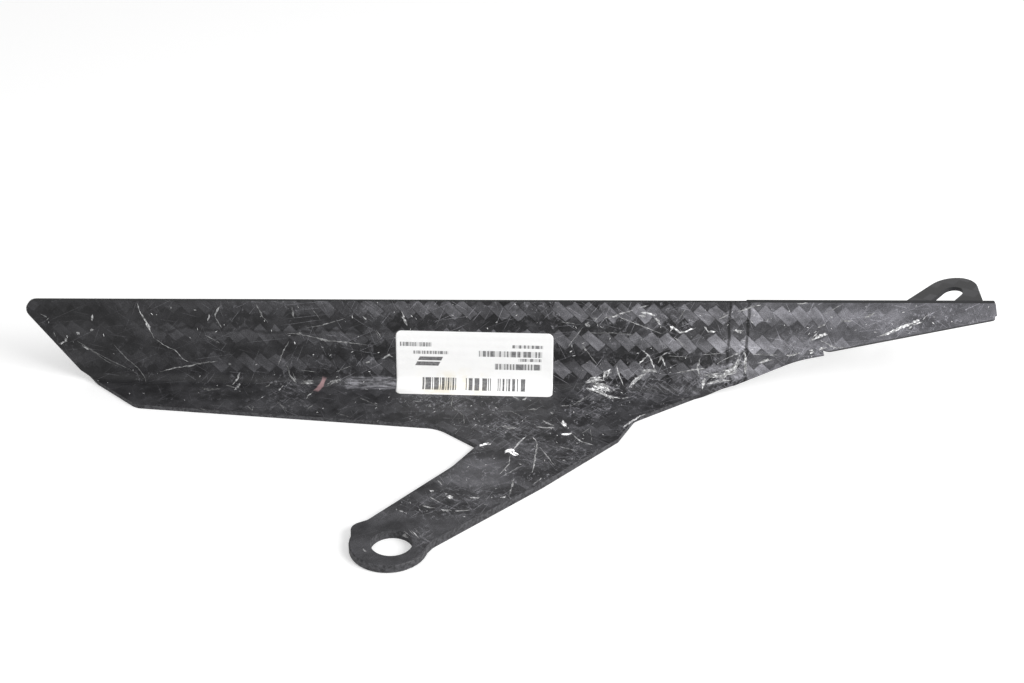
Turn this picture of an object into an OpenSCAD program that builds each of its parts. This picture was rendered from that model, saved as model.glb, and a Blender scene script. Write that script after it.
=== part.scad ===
// Motorcycle chain guard, moulded as one piece from carbon laminate.
// The guard lies on its flange. The origin is the centre of the eyelet's hole on the seating face,
// X runs along the guard to its narrow end, Y runs back to the wall and Z is up.

/* [Laminate] */
// Thickness of the laminate in the flange, the wall and the tab
sheet_t = 1.5; // [1.2:0.1:2.2]
// Thickness of the extra plies behind the wall's narrow end
ply_t = 0.8; // [0.4:0.1:1.2]
// Place along the guard where the extra plies start
ply_x = 112; // [108:1:118]
// Inner radius of the fold between the flange and the wall
fold_r = 3; // [2:0.5:4]
// Lean of the wall away from the flange, past upright
wall_lean = 6; // [3:0.5:10]

/* [Wall] */
// Distance of the wall's foot from the eyelet's axis
fold_y = 93; // [90:0.5:97]
// Distance of the wall's foot at the wide end behind the eyelet's axis
foot_x = 115; // [112:1:125]
// Distance of the narrow end from the eyelet's axis
end_x = 196; // [190:1:200]
// Lean of the narrow end's edge, as the distance that its top stands back
end_lean = 1; // [0:0.5:2]
// Rounding of the narrow end's lower corner
end_corner_r = 2; // [1:0.5:3]
// Rake of the wide end's edge, from upright
end_rake = 38; // [20:1:45]
// Height of the wall at its wide end
wall_h_wide = 29; // [25:0.5:32]
// Height of the wall's straight top edge at the narrow end, above the fold
wall_h_narrow = 35.5; // [34:0.5:38]
// Rounding of the wall's top corner at the wide end
top_corner_r = 3.5; // [2:0.5:6]
// Place along the guard where the wall's lower edge leaves the fold
sweep_x = 104; // [102:1:108]
// Place along the guard where the lower edge turns to run beside the tab
turn_x = 130; // [126:1:134]
// Rounding of the lower edge where it turns
turn_r = 40; // [20:5:60]

/* [Flange] */
// Depth of the flange at its wide end, from the fold to the front edge
flange_d_wide = 16.5; // [14:0.5:20]
// Depth of the flange where its front edge turns in to the arm
flange_d_arm = 25; // [22:0.5:28]
// Distance of the flange's end edge behind the eyelet's axis, at the fold
flange_foot_x = 113.5; // [110:0.5:118]
// Rake of the flange's end edge, from the fold
flange_rake = 41.5; // [36:0.5:50]
// Rounding of the flange's front corner
flange_corner_r = 6; // [2:0.5:8]
// Place along the guard where the front edge turns in to the arm
turn_in_x = 9; // [6:1:12]
// Rounding of that turn
turn_in_r = 12; // [6:1:20]
// Place along the guard of the sharp notch between the front edge and the arm
notch_x = 23; // [20:0.5:26]
// Distance of that notch from the fold
notch_d = 36.5; // [34:0.5:39]
// Place along the guard where the flange's right edge meets the fold
flange_sweep_x = 99.5; // [96:0.5:102]
// Place along the guard of the step's outer corner
step_out_x = 75; // [73:0.5:78]
// Distance of the step's outer corner from the fold
step_out_d = 18; // [16:0.5:20]
// Place along the guard of the step's inner corner
step_in_x = 69.5; // [67:0.5:71]
// Distance of the step's inner corner from the fold
step_in_d = 30.5; // [28:0.5:32]
// Rounding of the step's two corners
step_r = 4; // [2:0.5:5]

/* [Arm and eyelet] */
// Diameter of the eyelet's hole
eye_bore = 13; // [10:0.5:14]
// Outer diameter of the eyelet
eye_od = 24.5; // [23:0.5:28]
// Thickness of the eyelet
eye_t = 3; // [2.6:0.1:4]
// Rounding of the eyelet's outer edges
eye_round = 0.6; // [0.4:0.1:1]
// Offset of the eyelet's outer edge from its hole, towards the wide end
eye_off_x = 1; // [0:0.1:1.5]
// Offset of the eyelet's outer edge from its hole, towards the wall
eye_off_y = 0.8; // [0:0.1:1.5]
// Distance from the eyelet's axis, towards the wall, at which the arm starts to thin down
ramp_start = 12; // [8:1:20]
// Distance from the eyelet's axis, towards the wall, at which the arm is down to the laminate
ramp_end = 65; // [50:1:65]
// Direction of the arm's left edge, from the guard's length
arm_angle = 52.5; // [50:0.5:55]
// Offset of the arm's left edge from the eyelet's axis
arm_left = 13.9; // [13.5:0.1:14.5]
// Distance up the arm at which its left edge turns to the notch
shoulder_at = 44; // [40:1:48]
// Rounding of that turn
shoulder_r = 20; // [10:1:30]
// Distance up the arm at which its left edge turns to the eyelet
heel_at = 4; // [3:0.5:6]
// Rounding of the two corners where the left edge runs into the eyelet
heel_r = 4; // [2:0.5:5]
// Place along the guard of the slight bend in the arm's right edge
elbow_x = 45; // [42:1:48]
// Distance of that bend from the fold
elbow_d = 58; // [56:1:60]
// Rounding of that bend
elbow_r = 60; // [30:5:80]
// Rounding in the throat where the arm's right edge meets the eyelet
throat_r = 8; // [4:1:10]

/* [Tab] */
// Slope of the tab's fold line along the wall
tab_slope = 13.5; // [12:0.5:16]
// Height of the tab's fold line at the narrow end, above the main fold
tab_h = 28; // [26.5:0.5:29.5]
// Angle that the tab is bent through
tab_bend = 96; // [90:1:100]
// Inner radius of the tab's fold
tab_fold_r = 1; // [0.5:0.25:1.5]
// Length of the tab's root along the fold line
tab_root = 59; // [50:1:60]
// Slant of the tab's left end over the fold
tab_root_slant = 5; // [2:0.5:6]
// Distance of the tab's far edge from the fold line
tab_reach = 32; // [28:0.5:34]
// Radius of the tab's tip
tab_tip_r = 9; // [8:0.5:11]
// Set-back of the tab's straight side from the wall's end
tab_inset = 1.8; // [0.5:0.1:3]
// Width of the slot
slot_w = 7.5; // [6:0.5:9]
// Length of the slot, end to end
slot_len = 16; // [12:0.5:18]
// Angle of the slot from the fold line
slot_angle = 46; // [35:1:55]

/* [Label] */
// Width of the label
label_w = 54; // [40:1:60]
// Place of the label's middle along the guard
label_x = 20; // [10:1:30]
// Height of the label's top edge above the fold
label_top = 21.5; // [18:0.5:24]
// Length of the label's lower strip that lies on the flange
label_lap = 3.5; // [2:0.5:6]
// Thickness of the label
label_t = 0.15; // [0.1:0.05:0.3]
// Rounding of the label's corners
label_r = 2; // [1:0.5:3]

/* [Hidden] */
$fn = 48;

// Overlap by which joined solids run into each other
weld = 0.02;
// Rounding of the narrow end's upper corner
end_top_r = 0.5;
// Number of flats along a fold and along a rounded corner
fold_steps = 10;
arc_steps = 8;

fold_turn = 90 - wall_lean;
fold_setback = fold_r * tan(fold_turn / 2);
fold_axis = [0, fold_y - fold_setback, sheet_t + fold_r];

front_wide = fold_y - flange_d_wide;
front_arm = fold_y - flange_d_arm;
notch = [notch_x, fold_y - notch_d];
flange_side_x = flange_foot_x - flange_d_wide / tan(flange_rake);
step_out = [step_out_x, fold_y - step_out_d];
step_in = [step_in_x, fold_y - step_in_d];
elbow = [elbow_x, fold_y - elbow_d];

eye_r = eye_od / 2;
eye_at = [-eye_off_x, eye_off_y];
// Radius inside which the arm's outline has run into the eyelet's flat top
eye_flat_r = eye_r - eye_round - 0.1;
// Directions from the eyelet's middle in which the arm's outline enters it
enter_left = 190;
enter_right = -15;
// Corners of the outline beside the eyelet, as steps from its middle
throat = eye_at + [eye_r + 1.3, 1.2];
heel = eye_at + [-eye_r - 0.3, 0.65 * eye_r];
function on_arm_left(s) =
    arm_left * [-sin(arm_angle), cos(arm_angle)] + s * [cos(arm_angle), sin(arm_angle)];
function in_eye(a) = eye_at + eye_flat_r * [cos(a), sin(a)];

flange_slope_right = step_out_d / (flange_sweep_x - step_out_x);
flange_right_x = flange_sweep_x - fold_setback / flange_slope_right;
flange_left_x = -flange_foot_x + fold_setback / tan(flange_rake);

// Height of the wall's lower edge above the tab's fold line, where the two run side by side
tab_gap = 0.3;
function tab_line(x) = tab_h - (end_x - x) * tan(tab_slope);
turn_h = tab_line(turn_x) + tab_gap;
sweep_slope = turn_h / (turn_x - sweep_x);
wall_right_x = sweep_x + fold_setback / sweep_slope;
wall_left_x = -foot_x - fold_setback * tan(end_rake);

tab_out_r = tab_fold_r + sheet_t;
tab_setback = tab_out_r * tan(tab_bend / 2);
tab_root_x = end_x - tab_root * cos(tab_slope);
tab_foot_x = tab_root_x + tab_setback * sin(tab_slope);
tab_tip = [-tab_inset - tab_tip_r, tab_reach - tab_tip_r];
// Where the tab's two straight sides would meet beyond its round tip, as steps from the tip
tab_peak = [-0.32 * tab_tip_r, 1.15 * tab_tip_r];
// Distance from the fold at which the tab's right side runs straight
side_start = 3;
slot_run = slot_len - slot_w;

function unit(v) = v / norm(v);

// Points of one corner of an outline, rounded where the corner's third number is a radius
function corner(a, b, c) =
    let (r = b[2])
    r == 0 ? [[b.x, b.y]] :
    let (
        p = [b.x, b.y],
        u = unit([a.x, a.y] - p),
        w = unit([c.x, c.y] - p),
        half = acos(u * w) / 2,
        mid = p + unit(u + w) * r / sin(half),
        from = p + u * r / tan(half) - mid,
        to = p + w * r / tan(half) - mid,
        start = atan2(from.y, from.x),
        turn = (atan2(to.y, to.x) - start + 540) % 360 - 180
    )
    [for (i = [0:arc_steps])
        mid + r * [cos(start + turn * i / arc_steps), sin(start + turn * i / arc_steps)]];

// An outline whose corners are given as [x, y, radius]
function rounded(p) =
    [for (i = [0:len(p) - 1])
        each corner(p[(i + len(p) - 1) % len(p)], p[i], p[(i + 1) % len(p)])];

// A bent strip about the X axis, from pointing down round to the given turn.
// Its ends run from the places in ends_start to those in ends_end.
module fold_strip(r_in, t, turn, ends_start, ends_end) {
    n = fold_steps;
    points = [for (i = [0:n])
        let (
            a = turn * i / n,
            lo = ends_start[0] + (ends_end[0] - ends_start[0]) * i / n,
            hi = ends_start[1] + (ends_end[1] - ends_start[1]) * i / n,
            out = [sin(a), -cos(a)]
        )
        each [
            [lo, out.x * r_in, out.y * r_in],
            [hi, out.x * r_in, out.y * r_in],
            [hi, out.x * (r_in + t), out.y * (r_in + t)],
            [lo, out.x * (r_in + t), out.y * (r_in + t)]
        ]];
    sides = [for (i = [0:n - 1], k = [0:3])
        let (a = 4 * i + k, b = 4 * i + (k + 1) % 4)
        each [[a, a + 4, b], [b, a + 4, b + 4]]];
    polyhedron(points, concat([[0, 1, 2, 3]], sides, [[4 * n + 3, 4 * n + 2, 4 * n + 1, 4 * n]]));
}

// Places a flat piece, drawn in X and Y from the fold's end, after a fold
module after_fold(turn, r_in, t) {
    rotate([turn, 0, 0]) translate([0, 0, -r_in - t]) linear_extrude(t) children();
}

// Places what is drawn along the tab's fold line, with Y down the wall's front
module at_tab_fold() {
    translate(fold_axis) rotate([fold_turn, 0, 0])
        translate([end_x, tab_h - fold_setback, -fold_r])
            rotate([0, 0, tab_slope])
                translate([0, tab_setback, -tab_out_r])
                    rotate([180, 0, 0]) children();
}

// The arm's outline ends inside the eyelet, whose own rim is round
module flange_outline() {
    polygon(rounded([
        [flange_left_x, fold_axis.y + weld, 0],
        [-flange_side_x, front_wide, flange_corner_r],
        [turn_in_x, front_arm, turn_in_r],
        [notch.x, notch.y, 0],
        concat(on_arm_left(shoulder_at), [shoulder_r]),
        concat(on_arm_left(heel_at), [heel_r]),
        concat(heel, [heel_r]),
        concat(in_eye(enter_left), [0]),
        concat(in_eye(enter_right), [0]),
        concat(throat, [throat_r]),
        concat(elbow, [elbow_r]),
        concat(step_in, [step_r]),
        concat(step_out, [step_r]),
        [flange_right_x, fold_axis.y + weld, 0]
    ]));
}

// The eyelet's section right of its axis, with both outer edges rounded
module eye_section() {
    square([eye_r - eye_round, eye_t]);
    translate([0, eye_round]) square([eye_r, eye_t - 2 * eye_round]);
    for (z = [eye_round, eye_t - eye_round])
        translate([eye_r - eye_round, z]) circle(r = eye_round);
}

// The flange lies flat, with the arm thickened towards the eyelet
module flange() {
    linear_extrude(sheet_t) flange_outline();
    intersection() {
        linear_extrude(eye_t) flange_outline();
        translate([-eye_od, 0, 0]) rotate([90, 0, 90]) linear_extrude(eye_od + step_out_x)
            polygon([
                [-eye_od, 0], [-eye_od, eye_t], [ramp_start, eye_t], [ramp_end, sheet_t],
                [ramp_end, 0]
            ]);
    }
    translate(eye_at) rotate_extrude() intersection() {
        eye_section();
        square([eye_od, eye_t]);
    }
}

module wall_outline() {
    translate([0, -fold_setback])
        polygon(rounded([
            [wall_left_x, fold_setback - weld, 0],
            [wall_right_x, fold_setback - weld, 0],
            [turn_x, turn_h, turn_r],
            [tab_foot_x, tab_line(tab_foot_x) + tab_gap, 0],
            [tab_root_x, tab_line(tab_root_x) + tab_setback / cos(tab_slope) - weld, 0],
            [end_x, tab_h + tab_setback / cos(tab_slope) - weld, 0],
            [end_x - end_lean, wall_h_narrow, end_top_r],
            [-foot_x - wall_h_wide * tan(end_rake), wall_h_wide, top_corner_r]
        ]));
}

// The slot, drawn from the middle of its rounded far end
module slot() {
    circle(d = slot_w);
    translate([0, -slot_w / 2]) square([slot_run, slot_w]);
    translate([slot_run, 0]) circle(d = slot_w);
}

module tab_outline() {
    difference() {
        translate([0, -tab_setback])
            polygon(rounded([
                [-tab_root + tab_root_slant, tab_setback - weld, 0],
                [-end_lean / 2, tab_setback - weld, 0],
                [-tab_inset, tab_setback + side_start, 0],
                [-tab_inset, tab_reach, tab_tip_r - weld],
                concat(tab_tip + tab_peak, [tab_tip_r - weld])
            ]));
        translate([tab_tip.x, tab_tip.y - tab_setback]) rotate(180 + slot_angle) slot();
    }
}

module guard_shell() {
    color([0.09, 0.09, 0.10])
    difference() {
        union() {
            flange();
            translate(fold_axis) {
                fold_strip(fold_r, sheet_t, fold_turn,
                    [flange_left_x, flange_right_x], [wall_left_x, wall_right_x]);
                after_fold(fold_turn, fold_r, sheet_t) wall_outline();
                after_fold(fold_turn, fold_r + sheet_t - weld, ply_t + weld) intersection() {
                    wall_outline();
                    translate([ply_x, 0]) square([end_x, wall_h_narrow]);
                }
            }
            at_tab_fold() {
                fold_strip(tab_fold_r, sheet_t, tab_bend,
                    [-tab_root, 0], [-tab_root + tab_root_slant, -end_lean / 2]);
                after_fold(tab_bend, tab_fold_r, sheet_t) tab_outline();
            }
        }
        translate([0, 0, -1]) cylinder(d = eye_bore, h = eye_t + 2);
        at_tab_fold() translate([0, tab_out_r, -tab_out_r - 1])
            linear_extrude(tab_out_r + 1) end_corner_waste();
    }
}

// The label's section: flat on the flange, round the fold and flat on the wall
module label_section() {
    run_in = 2;
    translate([-label_lap, -fold_r]) square([label_lap, label_t]);
    intersection() {
        difference() {
            circle(r = fold_r);
            circle(r = fold_r - label_t);
        }
        polygon([
            [0, 0],
            2 * fold_r * [sin(-run_in), -cos(-run_in)],
            2 * fold_r * [sin(fold_turn / 2), -cos(fold_turn / 2)],
            2 * fold_r * [sin(fold_turn + run_in), -cos(fold_turn + run_in)]
        ]);
    }
    rotate(fold_turn) translate([0, -fold_r]) square([label_top - fold_setback, label_t]);
}

// What the rounding takes off the narrow end's lower corner
module end_corner_waste() {
    mirror([1, 0, 0]) corner_waste(end_corner_r);
}

// What a rounded corner takes off a square one, for a corner that points along -X and +Y
module corner_waste(r) {
    difference() {
        translate([-1, -r]) square([r + 1, r + 1]);
        translate([r, -r]) circle(r = r);
    }
}

module label() {
    color([0.93, 0.93, 0.90])
    translate(fold_axis)
    difference() {
        translate([label_x - label_w / 2, 0, 0])
            rotate([90, 0, 90]) linear_extrude(label_w) label_section();
        for (side = [0, 1]) translate([label_x, 0, 0]) mirror([side, 0, 0]) {
            rotate([fold_turn, 0, 0])
                translate([-label_w / 2, label_top - fold_setback, -fold_r - 0.5])
                    linear_extrude(1) corner_waste(label_r);
            translate([-label_w / 2, -label_lap, -fold_r - 0.5])
                linear_extrude(1) mirror([0, 1, 0]) corner_waste(label_r);
        }
    }
}

guard_shell();
label();
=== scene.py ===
import math

import bmesh
import bpy
import numpy as np
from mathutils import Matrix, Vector
from mathutils.bvhtree import BVHTree


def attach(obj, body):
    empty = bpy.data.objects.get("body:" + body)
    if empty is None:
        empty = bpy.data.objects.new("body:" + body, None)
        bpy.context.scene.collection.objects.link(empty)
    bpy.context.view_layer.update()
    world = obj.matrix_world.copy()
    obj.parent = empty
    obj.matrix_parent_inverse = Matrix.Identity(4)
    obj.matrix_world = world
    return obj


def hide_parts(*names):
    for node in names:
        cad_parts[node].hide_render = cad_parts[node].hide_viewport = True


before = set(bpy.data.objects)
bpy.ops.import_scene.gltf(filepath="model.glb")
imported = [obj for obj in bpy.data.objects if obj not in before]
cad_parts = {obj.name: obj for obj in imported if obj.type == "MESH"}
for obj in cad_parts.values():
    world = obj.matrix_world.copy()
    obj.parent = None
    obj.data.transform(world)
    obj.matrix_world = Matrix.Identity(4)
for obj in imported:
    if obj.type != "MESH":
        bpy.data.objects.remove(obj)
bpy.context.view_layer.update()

# Camera. It looks down on the guard's rough inner side, from in front of the eyelet, with a lens
# of about twice the normal length.
MM = 0.001
CAMERA_AT = (58.0, -490.7, 371.0)
CAMERA_DOWN = 31.0
CAMERA_YAW = 2.46
LENS_PX = 2000.0
PHOTO_WIDTH_PX = 1024.0
SENSOR = 36.0

camera_data = bpy.data.cameras.new("camera")
camera_data.sensor_width = SENSOR
camera_data.lens = SENSOR * LENS_PX / PHOTO_WIDTH_PX
camera_data.clip_start = 10 * MM
camera = bpy.data.objects.new("camera", camera_data)
camera.location = [c * MM for c in CAMERA_AT]
camera.rotation_euler = (math.radians(90 - CAMERA_DOWN), 0, math.radians(CAMERA_YAW))
bpy.context.collection.objects.link(camera)
bpy.context.scene.camera = camera

# Shell. The guard itself, laid by hand from carbon twill and resin in one mould, rough and worn
# inside and clear-coated outside. Its mesh is the CAD surface, shaded smooth round folds and rims;
# each corner knows its place on the unrolled sheet: u along the guard, v up from the fold line.
SHEET = 1.5
FOLD_R = 3.0
FOLD_TURN = math.radians(84.0)
# Where the inner faces of flange and wall would meet without the fold's round
FOLD_MEET = 93.0
FOLD_Y = FOLD_MEET - FOLD_R * math.tan(FOLD_TURN / 2)
FOLD_Z = SHEET + FOLD_R
MERGE = 1e-6
SLICE = 8.0
SLICE_FROM = -130
SLICE_TO = 195
COPLANAR = math.cos(math.radians(0.6))
SOFT_TURN = math.cos(math.radians(35))
PLATE_AREA = 12.0
TAB_DEPTH = SHEET + 0.9
FACING_FOLD = 0.9
FACING_SIDE = 0.85
TOW = 3.8
WALL_V = FOLD_R * FOLD_TURN
WALL_UP = np.array([0.0, math.cos(FOLD_TURN), math.sin(FOLD_TURN)])


def unrolled(at):
    """The developed coordinate v of points in millimetres."""
    dy = at[:, 1] - FOLD_Y
    dz = at[:, 2] - FOLD_Z
    up = dy * WALL_UP[1] + dz * WALL_UP[2]
    round_fold = FOLD_R * np.arctan2(dy, -dz)
    return np.where(dy <= 0, dy, np.where(up > 0, WALL_V + up, round_fold))


def towards_inside(at):
    """The direction out of the inner face at each point, and the depth below that face."""
    dy = at[:, 1] - FOLD_Y
    dz = at[:, 2] - FOLD_Z
    up = dy * WALL_UP[1] + dz * WALL_UP[2]
    angle = np.where(dy <= 0, 0.0, np.where(up > 0, FOLD_TURN, np.arctan2(dy, -dz)))
    away = np.stack([np.zeros_like(angle), -np.sin(angle), np.cos(angle)], 1)
    depth = -FOLD_R - (dy * away[:, 1] + dz * away[:, 2])
    return away, depth


def object_from(name, mesh):
    """A new object in the scene, at the origin and unturned."""
    made = bpy.data.objects.new(name, mesh)
    bpy.context.collection.objects.link(made)
    return made


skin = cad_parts["guard_shell"].data.copy()
clean = bmesh.new()
clean.from_mesh(skin)
bmesh.ops.remove_doubles(clean, verts=clean.verts, dist=MERGE)
for cut_x in np.arange(SLICE_FROM, SLICE_TO, SLICE):
    bmesh.ops.bisect_plane(
        clean, geom=list(clean.verts) + list(clean.edges) + list(clean.faces), dist=MERGE,
        plane_co=(cut_x * MM, 0, 0), plane_no=(1, 0, 0)
    )
bmesh.ops.triangulate(clean, faces=clean.faces)
clean.normal_update()
cad_tree = BVHTree.FromBMesh(clean)

# Joined coplanar faces that are large count as plates and keep their own normal
clean.faces.ensure_lookup_table()
plate = np.zeros(len(clean.faces), bool)
seen_face = np.zeros(len(clean.faces), bool)
for first in clean.faces:
    if seen_face[first.index]:
        continue
    seen_face[first.index] = True
    patch, area = [first], 0.0
    for face in patch:
        area += face.calc_area()
        for side_edge in face.edges:
            for other in side_edge.link_faces:
                if not seen_face[other.index] and other.normal.dot(face.normal) > COPLANAR:
                    seen_face[other.index] = True
                    patch.append(other)
    plate[[face.index for face in patch]] = area > PLATE_AREA * MM * MM

centre = np.array([face.calc_center_median() for face in clean.faces]) / MM
facing = np.array([face.normal for face in clean.faces])
away, depth = towards_inside(centre)
centre_v = unrolled(centre)
on_tab = (depth > TAB_DEPTH) & (centre[:, 1] > FOLD_Y)
away[on_tab] = (0.0, 0.0, -1.0)
side = (facing * away).sum(1)
in_fold = (centre_v > 0) & (centre_v < WALL_V) & ~on_tab & (np.abs(side) > FACING_FOLD)
inner = (side > FACING_SIDE) & ~on_tab
edge = np.abs(side) < FACING_SIDE
corner_normal, corner_uv = [], []
for face in clean.faces:
    for corner in face.verts:
        spot = np.array([corner.co]) / MM
        if in_fold[face.index]:
            turned = towards_inside(spot)[0][0] * math.copysign(1, side[face.index])
        elif plate[face.index]:
            turned = facing[face.index]
        else:
            near = [f for f in corner.link_faces if f.normal.dot(face.normal) > SOFT_TURN]
            flat_near = [f.normal for f in near if plate[f.index]]
            turned = flat_near[0] if flat_near else sum(
                (f.normal * f.calc_area() for f in near), Vector((0, 0, 0))
            ).normalized()
        corner_normal.append(tuple(turned))
        sheet_v = spot[0, 1] if on_tab[face.index] else unrolled(spot)[0]
        corner_uv.append((spot[0, 0] * MM, sheet_v * MM))
clean.to_mesh(skin)
clean.free()

while skin.uv_layers:
    skin.uv_layers.remove(skin.uv_layers[0])
skin.uv_layers.new(name="sheet").data.foreach_set("uv", np.ravel(corner_uv))
skin.attributes.new("inner", "FLOAT", "FACE").data.foreach_set("value", inner.astype(float))
skin.attributes.new("edge", "FLOAT", "FACE").data.foreach_set("value", edge.astype(float))

# Where chips are strewn: a few at the wide end, most from the label on, none round the eyelet
CHIP_FEWEST = 0.3
CHIP_RISE_FROM = -60
CHIP_RISE_OVER = 80
CHIP_LOWEST = -78
corner_u, corner_v = np.array(corner_uv).T / MM
fleck = CHIP_FEWEST + (1 - CHIP_FEWEST) * np.clip((corner_u - CHIP_RISE_FROM) / CHIP_RISE_OVER, 0, 1)
fleck *= np.repeat(inner, 3) * (corner_v > CHIP_LOWEST)
skin.attributes.new("fleck", "FLOAT", "CORNER").data.foreach_set("value", fleck)
skin.polygons.foreach_set("use_smooth", [True] * len(skin.polygons))
skin.normals_split_custom_set(corner_normal)
skin.update()
shell = object_from("shell", skin)


class Value:
    """A number in a node tree. Sums on it add Math nodes."""

    def __init__(self, tree, socket):
        self.tree = tree
        self.socket = socket

    def math(self, operation, *terms, clamp=False):
        node = self.tree.nodes.new("ShaderNodeMath")
        node.operation = operation
        node.use_clamp = clamp
        for slot, term in zip(node.inputs, terms):
            if isinstance(term, Value):
                self.tree.links.new(term.socket, slot)
            else:
                slot.default_value = term
        return Value(self.tree, node.outputs[0])

    def __add__(self, other):
        return self.math("ADD", self, other)

    __radd__ = __add__

    def __mul__(self, other):
        return self.math("MULTIPLY", self, other)

    __rmul__ = __mul__

    def __sub__(self, other):
        return self.math("SUBTRACT", self, other)

    def __rsub__(self, other):
        return self.math("SUBTRACT", other, self)

    def __truediv__(self, other):
        return self.math("DIVIDE", self, other)

    def __abs__(self):
        return self.math("ABSOLUTE", self)

    def __mod__(self, other):
        return self.math("FLOORED_MODULO", self, other)

    def floor(self):
        return self.math("FLOOR", self)

    def sin(self):
        return self.math("SINE", self)

    def under(self, other):
        return self.math("LESS_THAN", self, other)

    def most(self, other):
        return self.math("MAXIMUM", self, other)

    def ramp(self, low, high):
        """0 at low and 1 at high, clamped; low may be the larger."""
        return self.math("MULTIPLY", self - low, 1.0 / (high - low), clamp=True)

    def band(self, low, high, soft):
        """1 between low and high, with soft ends."""
        return self.ramp(low - soft, low + soft) * self.ramp(high + soft, high - soft)


class Paint:
    """A material and the one way its nodes are made."""

    def __init__(self, name):
        self.material = bpy.data.materials.new(name)
        self.material.use_nodes = True
        self.tree = self.material.node_tree
        self.tree.nodes.clear()

    def node(self, kind, settings=None, output=0, **inputs):
        """Makes a node, sets it, fills its sockets by name and returns one output."""
        node = self.tree.nodes.new("ShaderNode" + kind)
        for key, value in (settings or {}).items():
            setattr(node, key, value)
        for key, value in inputs.items():
            name = key.replace("_", " ")
            slot = next(s for s in node.inputs if s.name == name and s.enabled)
            if isinstance(value, Value):
                self.tree.links.new(value.socket, slot)
            else:
                slot.default_value = value
        return Value(self.tree, node.outputs[output])

    def mix(self, factor, a, b):
        """A colour between two colours, each given as a value or as three numbers."""
        a = a if isinstance(a, Value) else (*a, 1.0)
        b = b if isinstance(b, Value) else (*b, 1.0)
        return self.node("Mix", {"data_type": "RGBA"}, 2, Factor=factor, A=a, B=b)

    def finish(self, shader):
        out = self.tree.nodes.new("ShaderNodeOutputMaterial")
        self.tree.links.new(shader.socket, out.inputs["Surface"])
        return self.material


carbon = Paint("carbon laminate")
place = carbon.node("UVMap", {"uv_map": "sheet"}, "UV")
flat = carbon.node("VectorMath", {"operation": "SCALE"}, "Vector", Vector=place, Scale=1 / MM)
is_inner = carbon.node("Attribute", {"attribute_name": "inner"}, "Fac")
is_edge = carbon.node("Attribute", {"attribute_name": "edge"}, "Fac")
solid = carbon.node("TexCoord", None, "Object")


def noise(paint, vector, scale, detail=2.0, rough=0.5, size=(1, 1, 1)):
    """Noise of the given scale, in units of the vector, stretched by size."""
    mapped = paint.node("Mapping", None, "Vector", Vector=vector, Scale=size)
    return paint.node(
        "TexNoise", None, "Fac", Vector=mapped, Scale=scale, Detail=detail, Roughness=rough
    )


def part(paint, vector, axis):
    """One part of a vector."""
    return paint.node("SeparateXYZ", None, axis, Vector=vector)


def pick(paint, x, y, z=0.0):
    """A random number from 0 to 1 for a cell."""
    cell = paint.node("CombineXYZ", None, "Vector", X=x, Y=y, Z=z)
    return paint.node("TexWhiteNoise", {"noise_dimensions": "3D"}, "Value", Vector=cell)


def scratches(paint, vector, angle, length, width, share, start):
    """Fine slightly bowed scratches in one direction, one at most in each long cell."""
    pitch = 2.6
    sweep = 2.4
    faintest = 0.45
    turned = paint.node(
        "Mapping", {"vector_type": "TEXTURE"}, "Vector", Vector=vector,
        Location=(start, start * 0.7, 0), Rotation=(0, 0, math.radians(angle)),
        Scale=(length, pitch, 1)
    )
    cell = paint.node(
        "TexVoronoi", {"voronoi_dimensions": "2D"}, "Position", Vector=turned, Scale=1.0
    )
    chance = Value(paint.tree, cell.socket.node.outputs["Color"])
    luck = part(paint, chance, "X")
    bow = part(paint, chance, "Y") - 0.5
    along = part(paint, turned, "X") - part(paint, cell, "X")
    across = (part(paint, turned, "Y") - part(paint, cell, "Y")) * pitch
    across = abs(across - bow * along * sweep)
    line = across.ramp(width, width * 0.3) * abs(along).ramp(0.5, 0.25)
    return line * luck.under(share) * (faintest + bow)


u = part(carbon, flat, "X")
v = part(carbon, flat, "Y")

# Weave. A 2x2 twill at 45 degrees to the guard's length, drawn out of true by the hand laying.
# Along p and q lie the two sets of tows; warp is 1 where the one is on top.
WANDER = 4.0
STRAY = 1.8
WEAVE_SHIFT = 2.9
THREADS_PER_TOW = 75
REPEAT = 4
wander = (noise(carbon, flat, 0.035, 2) - 0.5) * WANDER
stray = (noise(carbon, flat, 0.2, 3) - 0.5) * STRAY
tow_u = u + wander + stray
tow_v = v + WEAVE_SHIFT + wander * 0.5 - stray
p = (tow_u + tow_v) / (math.sqrt(2) * TOW)
q = (tow_u - tow_v) / (math.sqrt(2) * TOW)
tow_p = p.floor()
tow_q = q.floor()
warp = ((tow_p - tow_q) % REPEAT).under(REPEAT / 2)
weft = 1 - warp
across = warp * (p - tow_p) + weft * (q - tow_q)
across = abs(across * 2 - 1)
along = abs(warp * ((tow_p - q + 1) % REPEAT - 1) + weft * ((p - tow_q) % REPEAT - (REPEAT - 1)))
crown = 1 - (across * across + along * along) * 0.5
body = across.ramp(1.0, 0.84) * along.ramp(1.0, 0.9)
each_float = pick(
    carbon, warp * tow_p + weft * (tow_q + 500),
    warp * ((tow_p - q + 1) / REPEAT).floor() + weft * ((p - tow_q) / REPEAT).floor(), warp
)
threads = ((warp * p + weft * q) * THREADS_PER_TOW + stray * 6).sin() * 0.5 + 0.5

# Regions of the sheet and the noises that the wear is made of
on_wall = v.ramp(2.0, 5.5)
on_arm = v.ramp(-20, -45)
by_eye = v.ramp(-74, -80)
far = u.ramp(105, 150) * on_wall
mottle = noise(carbon, flat, 0.09, 5, 0.65)
patchy = noise(carbon, flat, 0.33, 4, 0.6)
grain = noise(carbon, flat, 3.2, 3, 0.7)
scuffed = noise(carbon, flat, 0.05, 4, 0.6)
fibre = noise(carbon, flat, 0.9, 5, 0.7, (0.22, 1.7, 1))
crinkle = noise(carbon, flat, 1.1, 5, 0.75)

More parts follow.
